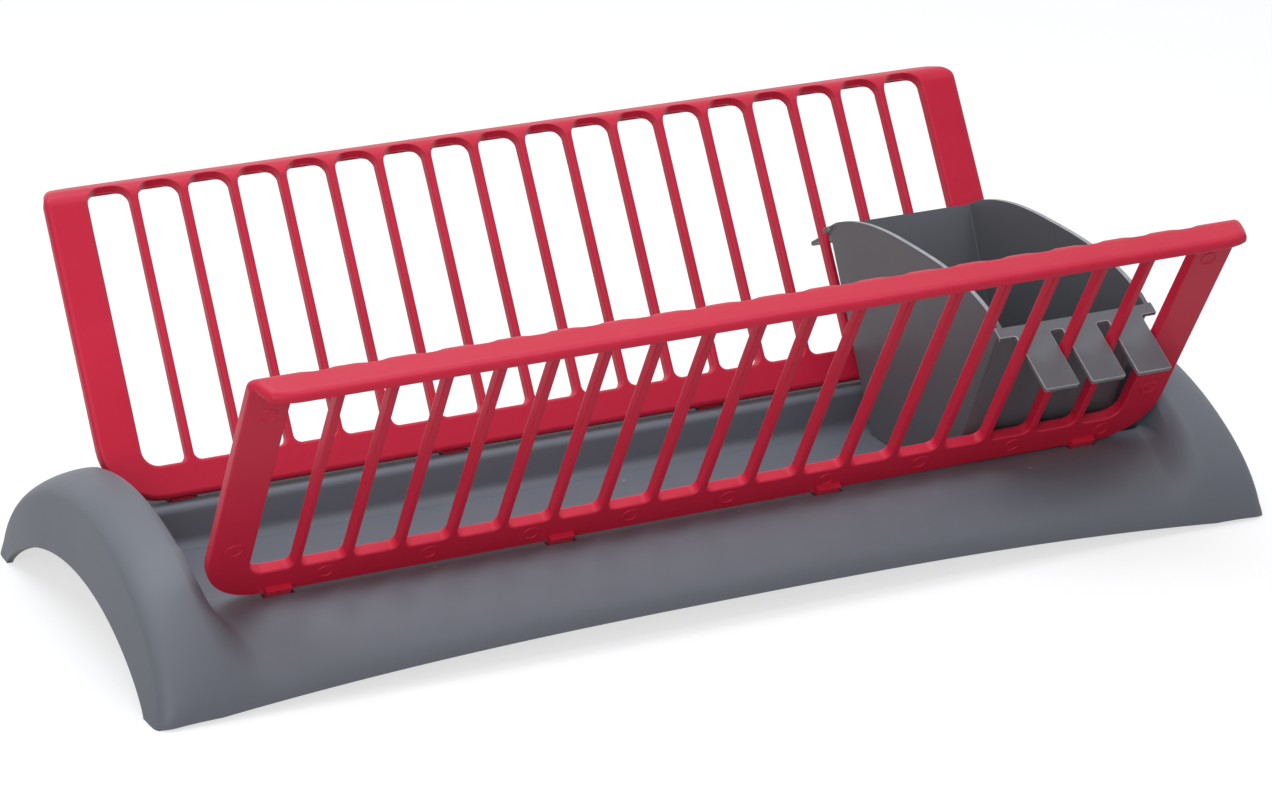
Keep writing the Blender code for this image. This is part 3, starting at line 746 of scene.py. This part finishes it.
def rail_path(rack, s):
    """Point (y, z) and outward normal of the plates' side, s up the face and over the rail."""
    bend_z = rack.height - rack.bend
    bend_y = rack.thickness / 2 - rack.bend
    if s <= bend_z:
        return Vector((rack.thickness / 2, s)), Vector((1.0, 0.0))
    turn = min((s - bend_z) / rack.bend, rack.turn)
    up = Vector((cos(turn), sin(turn)))
    point = Vector((bend_y, bend_z)) + rack.bend * up
    past = s - bend_z - rack.bend * turn
    return point + past * Vector((-up.y, up.x)), up


def rail_length(rack):
    """Length of the plates' side, from the foot to the lip's edge."""
    curl_y = rack.thickness / 2 - rack.bend + rack.bend * cos(rack.turn)
    run = (rack.thickness / 2 + rack.lip_reach + curl_y) / sin(rack.turn)
    return rack.height - rack.bend + rack.bend * rack.turn + run


def rail_curl(rack, s):
    """How far the rail has curled over at s, from 0 to 1."""
    return eased(share_of((s - (rack.height - rack.bend)) / (rack.bend * rack.turn)))


def lip_thinning(rack, s):
    """Thickness at s, as a share of the face's."""
    return 1.0 + (rack.lip_thickness / rack.thickness - 1.0) * rail_curl(rack, s)


def top_corner_start(rack):
    """Height at which the rounding of the upper corners starts."""
    return rack.height + rack.lip_reach / tan(rack.turn) - rack.top_corner


def half_width_at(rack, s):
    """Half of the rack's width at s: the upper corners are rounded and the lip fades out."""
    half = rack_half(rack)
    point, _ = rail_path(rack, s)
    rise = share_of((point.y - top_corner_start(rack)) / rack.top_corner)
    face = half - rack.top_corner * (1.0 - sqrt(1.0 - rise ** 2))
    out = share_of((-point.x - rack.thickness / 2 - LIP_PLAIN) / (rack.lip_reach - LIP_PLAIN))
    lip = half - rack.lip_corner * (1.0 - full_curve(out, LIP_POWER))
    return min(face, lip)


def rack_outline(rack):
    """The rack's outline rolled out flat, anticlockwise, as points (x, s)."""
    low = rack.low_corner
    total = rail_length(rack)
    right = arc((rack_half(rack) - low, low), low, -90.0, 0.0, CORNER_STEPS)
    start = top_corner_start(rack)
    for i in range(RISE_STEPS + 1):
        s = start + (total - start) * sin(radians(90.0 * i / RISE_STEPS))
        right.append((half_width_at(rack, s), s))
    return right + [(-x, s) for x, s in reversed(right)]


def outline_normals(points):
    """Unit normals that point out of a closed anticlockwise outline, one at each point."""
    normals = []
    for i, point in enumerate(points):
        here = Vector(point)
        before = (here - Vector(points[i - 1])).normalized()
        after = (Vector(points[(i + 1) % len(points)]) - here).normalized()
        run = (before + after).normalized()
        normals.append(Vector((run.y, -run.x)))
    return normals


def edge_profile(rack, s):
    """Pairs (inset, depth) from the plates' side round a free edge to the outer side."""
    face = rack.face_round + (rack.lip_round - rack.face_round) * rail_curl(rack, s)
    back = rounding(rack.back_round, PROFILE_STEPS)
    return rounding(face, PROFILE_STEPS) + [(inset, rack.thickness - depth) for depth, inset in back]


def rack_plate(rack):
    """The rack without its slots: a flat plate with rounded edges, then curled over at the top."""
    outline = rack_outline(rack)
    bm = bmesh.new()
    columns = []
    for (x, s), normal in zip(outline, outline_normals(outline)):
        columns.append([bm.verts.new((x - normal.x * inset, -depth, s - normal.y * inset))
                        for inset, depth in edge_profile(rack, s)])
    loft(bm, columns)
    bend_z = rack.height - rack.bend
    curl = rack.bend * rack.turn
    levels = [bend_z + curl * i / CURL_CUTS for i in range(CURL_CUTS + 1)] + [bend_z + curl + LIP_CUT]
    planes = [((0.0, 0.0, s), (0.0, 0.0, 1.0)) for s in levels]
    planes += [((x, 0.0, 0.0), (1.0, 0.0, 0.0)) for x in centred(rack.bars, rack.pitch)]
    for point, normal in planes:
        everything = bm.verts[:] + bm.edges[:] + bm.faces[:]
        bmesh.ops.bisect_plane(bm, geom=everything, dist=PLANE_TOUCH, plane_co=point, plane_no=normal)
    for vert in bm.verts:
        x, depth, s = vert.co.x, -vert.co.y, vert.co.z
        point, up = rail_path(rack, s)
        point -= up * depth * lip_thinning(rack, s)
        vert.co = (x, point.x, point.y)
    return mesh_from("rack_plate", bm)


def face_y_at(rack, z):
    """Where the plates' side stands at height z, on the face, the curl or the lip."""
    bend_z = rack.height - rack.bend
    bend_y = rack.thickness / 2 - rack.bend
    if z <= bend_z:
        return rack.thickness / 2
    top = bend_z + rack.bend * sin(rack.turn)
    if z <= top:
        return bend_y + sqrt(rack.bend ** 2 - (z - bend_z) ** 2)
    return bend_y + rack.bend * cos(rack.turn) - (z - top) * tan(rack.turn)


def slot_outline(rack, index):
    """A slot's outline (x, z), anticlockwise: almost square at the sill, arched at the rail."""
    width = rack.pitch - rack.bar_width
    low = rack.sill
    top = rack.height - rack.slot_margin - rack.slot_top
    left = (index - rack.bars / 2) * rack.pitch - width / 2
    right = left + width
    low_left = rack.slot_end if index == 0 else rack.slot_low
    low_right = rack.slot_end if index == rack.bars else rack.slot_low
    outline = arc((right - low_right, low + low_right), low_right, -90.0, 0.0, SLOT_LOW_STEPS)
    outline += [(right, low + (top - low) * up) for up in SLOT_LEVELS]
    outline += arc((right - rack.slot_top, top), rack.slot_top, 0.0, 90.0, SLOT_TOP_STEPS)
    outline += arc((left + rack.slot_top, top), rack.slot_top, 90.0, 180.0, SLOT_TOP_STEPS)
    outline += [(left, low + (top - low) * up) for up in reversed(SLOT_LEVELS)]
    outline += arc((left + low_left, low + low_left), low_left, 180.0, 270.0, SLOT_LOW_STEPS)
    return outline


def slot_column(rack, z, normal):
    """Pairs (spread, y) down the side of a slot's cutter, from the plates' side to the outer side."""
    half = rack.thickness / 2
    bend_z = rack.height - rack.bend
    curl = share_of((z - bend_z + CURL_BLEND / 2) / CURL_BLEND)
    flare = rack.bar_round * (1.0 - FLARE_LOSS * curl)
    back = rack.back_round * (1.0 - curl)
    draft = rack.slot_draft * max(normal.y, 0.0)
    inside = [(spread, face_y_at(rack, z + normal.y * spread) - depth + FACE_CLEAR)
              for spread, depth in rounding(flare, FLARE_STEPS)]
    past = flare * FLARE_GROWTH
    above = [(past, half + CUT_MARGIN), (past, inside[0][1] + FLARE_LIFT)]
    outside = [(spread, -half + depth - FACE_CLEAR) for depth, spread in rounding(back, FLARE_STEPS)]
    outside.append((back, -half - rack.slot_reach))
    return above + inside + [(spread - draft, y) for spread, y in outside]


def slot_cut(rack):
    """All slots of a rack, as cutters whose flared ends round the slots' edges over."""
    bm = bmesh.new()
    for index in range(rack.bars + 1):
        outline = slot_outline(rack, index)
        columns = []
        for (x, z), normal in zip(outline, outline_normals(outline)):
            columns.append([bm.verts.new((x + normal.x * spread, y, z + normal.y * spread))
                            for spread, y in slot_column(rack, z, normal)])
        loft(bm, columns, plain_ring=FLARE_STEPS + 2)
    bmesh.ops.triangulate(bm, faces=[f for f in bm.faces if len(f.verts) == 4])
    return mesh_from("slot_cut", bm)


def tab_forms(rack):
    """The four tabs, tapered at the tip, sunk a little into the sill's outer face."""
    bm = bmesh.new()
    middle = -(rack.thickness / 2 - TAB_SINK + TAB_THICKNESS / 2)
    for x, verts in tab_boxes(bm, rack):
        for vert in verts:
            if vert.co.z < 0.0:
                vert.co.x += copysign(TAB_TAPER, x - vert.co.x)
                if vert.co.y < middle:
                    vert.co.y += TAB_TAPER
    bmesh.ops.bevel(bm, geom=bm.edges[:], offset=TAB_ROUND, segments=2, profile=0.5, affect="EDGES")
    return mesh_from("tabs", bm)


def pin_marks(rack):
    """Low rings on the outer side, where the mould's pins pushed the rack out."""
    places = [(p * rack.pitch, SILL_MARK_HEIGHT) for p in SILL_MARKS]
    places += [(p * rack.pitch, z) for p, z in STILE_MARKS]
    bm = bmesh.new()
    section = [(rack.pin_mark + out, rise * PIN_RING_RISE)
               for out, rise in arc((0.0, 0.0), PIN_RING_RADIUS, 0.0, PIN_ARC, PIN_ARC_STEPS)]
    y = -rack.thickness / 2
    for x, z in places:
        rings = []
        for i in range(PIN_RING_STEPS):
            turn = 2.0 * pi * i / PIN_RING_STEPS
            rings.append([bm.verts.new((x + reach * cos(turn), y + rise, z + reach * sin(turn)))
                          for reach, rise in section])
        for i in range(PIN_RING_STEPS):
            join_rings(bm, rings[i], rings[(i + 1) % PIN_RING_STEPS])
    return mesh_from("pin_marks", bm)


def rack_mesh(rack):
    """An upright rack, with its slots, tabs and pin marks."""
    steps = [("DIFFERENCE", slot_cut(rack)), ("UNION", tab_forms(rack)), ("UNION", pin_marks(rack))]
    mesh = combine(add_object(rack_plate(rack)), steps)
    soften(mesh, RACK_CREASE)
    return mesh


# Cutlery holder

ARCH_POWER = 2.8
ARCH_LEAD = 0.001  # step from the rim to the end of the side walls' arch
ARCH_STEPS = 56
RIM_CLEAR = 0.00002
UPRIGHT_STEPS = 10
DRAIN_COUNT = 4
DRAIN_STEPS = 8
DRAIN_PITCH = 0.014
DRAIN_HALF_WIDTH = 0.002
DRAIN_HALF_LENGTH = 0.022
COMB_END = 0.0015  # the strip passes the box's ends by this
COMB_SINK = 1.3  # of the strip into the box, in wall thicknesses
TONGUE_TIP = 0.0009  # radii of the tongues' corners
TONGUE_ROOT = 0.001
TONGUE_STEPS = 4


def holder_walls(holder, rack, stand):
    """Floor height, half depths at the floor and at the rim, and half length of the box."""
    face = rack_face_y(rack, stand, holder.rim_height)
    return SimpleNamespace(
        floor=stand.tray_floor + SEAT_GAP, foot=stand.tray_depth - holder.foot_gap,
        rim=face - rack.thickness / 2 / cos(rack.lean) - holder.rim_gap,
        end=holder.tongues * rack.pitch / 2 + holder.side)


def round_tall_edges(bm, radius, holder, walls):
    """Round the edges that stand more than half as tall as the box."""
    tall = (holder.rim_height - walls.floor) / 2
    edges = [e for e in bm.edges if abs(e.verts[0].co.z - e.verts[1].co.z) > tall]
    bmesh.ops.bevel(bm, geom=edges, offset=radius, segments=UPRIGHT_STEPS, profile=0.5, affect="EDGES")


def holder_box(holder, walls):
    """The outside of the box: leaning long walls and arched side walls."""
    outline = [(-walls.foot, walls.floor), (walls.foot, walls.floor)]
    for i in range(ARCH_STEPS + 1):
        y = walls.rim * cos(pi * i / ARCH_STEPS)
        rise = ARCH_LEAD + (holder.arch_rise - ARCH_LEAD) * (1.0 - (abs(y) / walls.rim) ** ARCH_POWER)
        outline.append((y, holder.rim_height + rise))
    bm = bmesh.new()
    prism(bm, outline, "X", -walls.end, walls.end)
    # The arched rims' top faces take the pale edge colour: a painted highlight along the rims, and wear
    for face in bm.faces:
        if len(face.verts) == 4 and face.calc_center_median().z > holder.rim_height:
            face.material_index = EDGE_MARK
    round_tall_edges(bm, holder.corner, holder, walls)
    return mesh_from("holder_box", bm)


def holder_cavity(holder, walls):
    """The inside of the box, an even wall's thickness within its leaning walls."""
    slope = (walls.rim - walls.foot) / (holder.rim_height - walls.floor)
    side = holder.wall * sqrt(1.0 + slope ** 2)
    low = walls.floor + holder.wall
    top = holder.rim_height + holder.arch_rise + CUT_MARGIN
    low_y = walls.foot + slope * (low - walls.floor) - side
    top_y = walls.foot + slope * (top - walls.floor) - side
    inside = walls.end - holder.wall
    bm = bmesh.new()
    prism(bm, [(-low_y, low), (low_y, low), (top_y, top), (-top_y, top)], "X", -inside, inside)
    round_tall_edges(bm, holder.inner_corner, holder, walls)
    return mesh_from("holder_cavity", bm)


def rim_cut(holder, walls):
    """Takes the rims down to the slope of the combs, so that each comb runs on to the inside."""
    reach = walls.rim + CUT_MARGIN
    fall = tan(holder.comb_slope)
    middle = holder.rim_height + walls.rim * fall + RIM_CLEAR
    edge = holder.rim_height + (walls.rim - reach) * fall + RIM_CLEAR
    width = walls.end + CUT_MARGIN
    top = middle + CUT_MARGIN
    bm = bmesh.new()
    outline = [(-reach, edge), (0.0, middle), (reach, edge), (reach, top), (-reach, top)]
    prism(bm, outline, "X", -width, width)
    return mesh_from("rim_cut", bm)


def holder_drains(holder, walls):
    """Slots in the box's floor."""
    half = DRAIN_HALF_WIDTH
    reach = DRAIN_HALF_LENGTH - half
    bm = bmesh.new()
    for x in centred(DRAIN_COUNT, DRAIN_PITCH):
        outline = arc((x, reach), half, 0.0, 180.0, DRAIN_STEPS)
        outline += arc((x, -reach), half, 180.0, 360.0, DRAIN_STEPS)
        prism(bm, outline, "Z", walls.floor - CUT_MARGIN, walls.floor + holder.wall + CUT_MARGIN)
    return mesh_from("holder_drains", bm)


def comb_outline(holder, rack, stand, walls):
    """Root strip and tongues in the comb's own plane: x along, y outward down the slope."""
    tip_y = rack_face_y(rack, stand, holder.rim_height) + rack.thickness / 2 / cos(rack.lean)
    length_out = (tip_y - walls.rim) / cos(holder.comb_slope)
    length_out += holder.overhang * (1.0 - tan(rack.lean) * sin(holder.comb_slope))
    half = (rack.pitch - rack.bar_width) / 2 - holder.tongue_play
    end = walls.end + COMB_END
    start = -COMB_SINK * holder.wall
    tip_out = length_out - TONGUE_TIP
    root_out = holder.comb_root + TONGUE_ROOT
    outline = [(end, start), (end, holder.comb_root)]
    for x in reversed(centred(holder.tongues, rack.pitch)):
        outline += arc((x + half + TONGUE_ROOT, root_out), TONGUE_ROOT, 270.0, 180.0, TONGUE_STEPS)
        outline += arc((x + half - TONGUE_TIP, tip_out), TONGUE_TIP, 0.0, 90.0, TONGUE_STEPS)
        outline += arc((x - half + TONGUE_TIP, tip_out), TONGUE_TIP, 90.0, 180.0, TONGUE_STEPS)
        outline += arc((x - half - TONGUE_ROOT, root_out), TONGUE_ROOT, 0.0, -90.0, TONGUE_STEPS)
    outline += [(-end, holder.comb_root), (-end, start)]
    return outline


def comb(holder, rack, stand, walls, side):
    """A strip with its tongues, rounded along its free edges and put at the rim."""
    bm = bmesh.new()
    prism(bm, comb_outline(holder, rack, stand, walls), "Z", -holder.comb, 0.0)
    sharp = add_object(mesh_from("sharp_comb", bm))
    round_edges(sharp, holder.edge_round, 3)
    mesh = combine(sharp, [])
    turned = Matrix.Rotation(pi if side == "front" else 0.0, 4, "Z")
    place = Matrix.Translation((0.0, walls.rim, holder.rim_height))
    mesh.transform(turned @ place @ Matrix.Rotation(-holder.comb_slope, 4, "X"))
    return mesh


def holder_mesh(holder, rack, stand):
    """The box with its combs, hollowed, cut to the combs' slope and drained."""
    walls = holder_walls(holder, rack, stand)
    steps = [("UNION", comb(holder, rack, stand, walls, side)) for side in ("front", "back")]
    for cutter in (holder_cavity, rim_cut, holder_drains):
        steps.append(("DIFFERENCE", cutter(holder, walls)))
    mesh = combine(add_object(holder_box(holder, walls)), steps)
    mesh.transform(Matrix.Translation((holder.slot * rack.pitch, 0.0, 0.0)))
    soften(mesh)
    return mesh


# Stage

VIEW_PLACE = (-0.72776, -1.53480, 0.70649)
VIEW_YAW, VIEW_PITCH, VIEW_ROLL = 0.4425, 0.3637, -0.0031
VIEW_LENS = 123.74
VIEW_SENSOR = 36.0
VIEW_CLIP = (0.05, 30.0)
WHITE = (1.0, 1.0, 1.0)
COOL_WHITE = (0.86, 0.92, 1.0)
# Name, place, what it points at, width and height, watts, tint
LAMPS = (
    ("top_softbox", (-0.25, 0.35, 1.4), (-0.05, 0.0, 0.05), (1.4, 0.9), 12.5, COOL_WHITE),
    ("top_front_softbox", (0.45, -0.55, 1.4), (0.0, -0.1, 0.05), (0.6, 0.5), 4.5, COOL_WHITE),
    ("front_fill", (-1.2, -1.55, 0.75), (0.0, 0.0, 0.06), (1.2, 1.2), 15.0, WHITE),
)
WORLD_LIGHT = 0.36  # on the object; 1 where the background is seen
FLOOR_TONE = 0.42
FLOOR_ROUGHNESS = 0.9
FLOOR_LIFT = 0.66  # glow of the floor where it is seen
FLOOR_HALF_SIZE = 8.0
FLOOR_DROP = 0.0001


def add_camera():
    """A camera that sees the rack as the photograph does."""
    data = bpy.data.cameras.new("view")
    data.lens = VIEW_LENS
    data.sensor_width = VIEW_SENSOR
    data.clip_start, data.clip_end = VIEW_CLIP
    turn = Matrix.Rotation(-VIEW_YAW, 4, "Z") @ Matrix.Rotation(pi / 2 - VIEW_PITCH, 4, "X")
    camera = add_object(data)
    camera.matrix_world = Matrix.Translation(VIEW_PLACE) @ turn @ Matrix.Rotation(VIEW_ROLL, 4, "Z")
    bpy.context.scene.camera = camera


def add_lamp(name, place, target, size, power, tint):
    """A rectangular softbox that points at the target."""
    data = bpy.data.lights.new(name, "AREA")
    data.shape = "RECTANGLE"
    data.size, data.size_y = size
    data.energy = power
    data.color = tint
    lamp = add_object(data)
    lamp.location = place
    lamp.rotation_euler = (Vector(target) - Vector(place)).to_track_quat("-Z", "Y").to_euler()


def seen_directly(tree):
    """1 where a camera, glossy or transmission ray arrives."""
    path = tree.nodes.new("ShaderNodeLightPath").outputs
    seen = maths(tree, "MAXIMUM", path["Is Camera Ray"], path["Is Glossy Ray"])
    return maths(tree, "MAXIMUM", seen, path["Is Transmission Ray"])


def floor_material():
    """Matt white paper that looks white to the camera and keeps the shadow."""
    material = bpy.data.materials.new("white_sweep")
    material.use_nodes = True
    tree = material.node_tree
    glow = maths(tree, "MULTIPLY", seen_directly(tree), FLOOR_LIFT)
    feed(tree, tree.nodes["Principled BSDF"], {
        "Base Color": [FLOOR_TONE] * 3, "Roughness": FLOOR_ROUGHNESS, "Specular IOR Level": 0.0,
        "Emission Color": WHITE, "Emission Strength": glow})
    return material


def add_floor():
    """A wide plain floor just under the stand's feet."""
    bm = bmesh.new()
    bmesh.ops.create_grid(bm, x_segments=2, y_segments=2, size=FLOOR_HALF_SIZE)
    floor = add_object(mesh_from("floor", bm))
    floor.location.z = -FLOOR_DROP
    floor.data.materials.append(floor_material())


def add_world():
    """Even soft light, and a white background where it is seen."""
    world = bpy.data.worlds.new("studio")
    world.use_nodes = True
    tree = world.node_tree
    strength = add_node(
        tree, "MapRange", "Result", Value=seen_directly(tree), To_Min=WORLD_LIGHT, To_Max=1.0)
    feed(tree, tree.nodes["Background"], {"Color": WHITE, "Strength": strength})
    bpy.context.scene.world = world


# Operators


class MakeStand(Operator):
    """Build the stand with its drip tray"""
    bl_idname = "draining_rack.make_stand"
    bl_label = "Make the Stand"

    def execute(self, context):
        scene = context.scene
        material = moulded_plastic("stand_grey", "stand")
        mesh = stand_mesh(scene.stand_sizes, scene.rack_sizes)
        add_piece("stand_moulding", mesh, material, "stand", "base")
        return {"FINISHED"}


class MakeRacks(Operator):
    """Build the two racks that lean apart"""
    bl_idname = "draining_rack.make_racks"
    bl_label = "Make the Racks"

    def execute(self, context):
        scene = context.scene
        material = moulded_plastic("rack_red", "rack")
        upright = rack_mesh(scene.rack_sizes)
        for side in ("front", "back"):
            mesh = upright.copy()
            mesh.transform(rack_matrix(scene.rack_sizes, scene.stand_sizes, side))
            add_piece(side + "_rack_moulding", mesh, material, side + "_rack", "rack_" + side)
        return {"FINISHED"}


class MakeHolder(Operator):
    """Build the cutlery holder that hooks between the racks"""
    bl_idname = "draining_rack.make_holder"
    bl_label = "Make the Cutlery Holder"

    def execute(self, context):
        scene = context.scene
        material = moulded_plastic("holder_grey", "holder")
        mesh = holder_mesh(scene.holder_sizes, scene.rack_sizes, scene.stand_sizes)
        add_piece("holder_moulding", mesh, material, "holder", "cutlery_holder")
        return {"FINISHED"}


class MakeStage(Operator):
    """Build the floor, the lamps and the camera"""
    bl_idname = "draining_rack.make_stage"
    bl_label = "Make the Stage"

    def execute(self, context):
        add_floor()
        add_world()
        for lamp in LAMPS:
            add_lamp(*lamp)
        add_camera()
        context.scene.view_settings.view_transform = "Standard"
        return {"FINISHED"}


class RackPanel(Panel):
    """Sizes, finishes and steps of the draining rack"""
    bl_idname = "VIEW3D_PT_draining_rack"
    bl_label = "Draining Rack"
    bl_space_type = "VIEW_3D"
    bl_region_type = "UI"
    bl_category = "Draining Rack"

    def draw(self, context):
        for operator in OPERATORS:
            self.layout.operator(operator.bl_idname)
        for name in GROUPS:
            values = getattr(context.scene, name)
            column = self.layout.column(align=True)
            for key in values.bl_rna.properties.keys():
                if key not in ("rna_type", "name"):
                    column.prop(values, key)


OPERATORS = (MakeStand, MakeRacks, MakeHolder, MakeStage)
GROUPS = {"rack_sizes": RackSizes, "stand_sizes": StandSizes, "holder_sizes": HolderSizes,
          "rack_finishes": Finishes}
CLASSES = (*GROUPS.values(), *OPERATORS, RackPanel)


def register():
    for cls in CLASSES:
        bpy.utils.register_class(cls)
    for name, cls in GROUPS.items():
        setattr(bpy.types.Scene, name, PointerProperty(type=cls))


def unregister():
    for name in GROUPS:
        delattr(bpy.types.Scene, name)
    for cls in reversed(CLASSES):
        bpy.utils.unregister_class(cls)


def main():
    register()
    bpy.ops.draining_rack.make_stand()
    bpy.ops.draining_rack.make_racks()
    bpy.ops.draining_rack.make_holder()
    bpy.ops.draining_rack.make_stage()


if __name__ == "__main__":
    main()
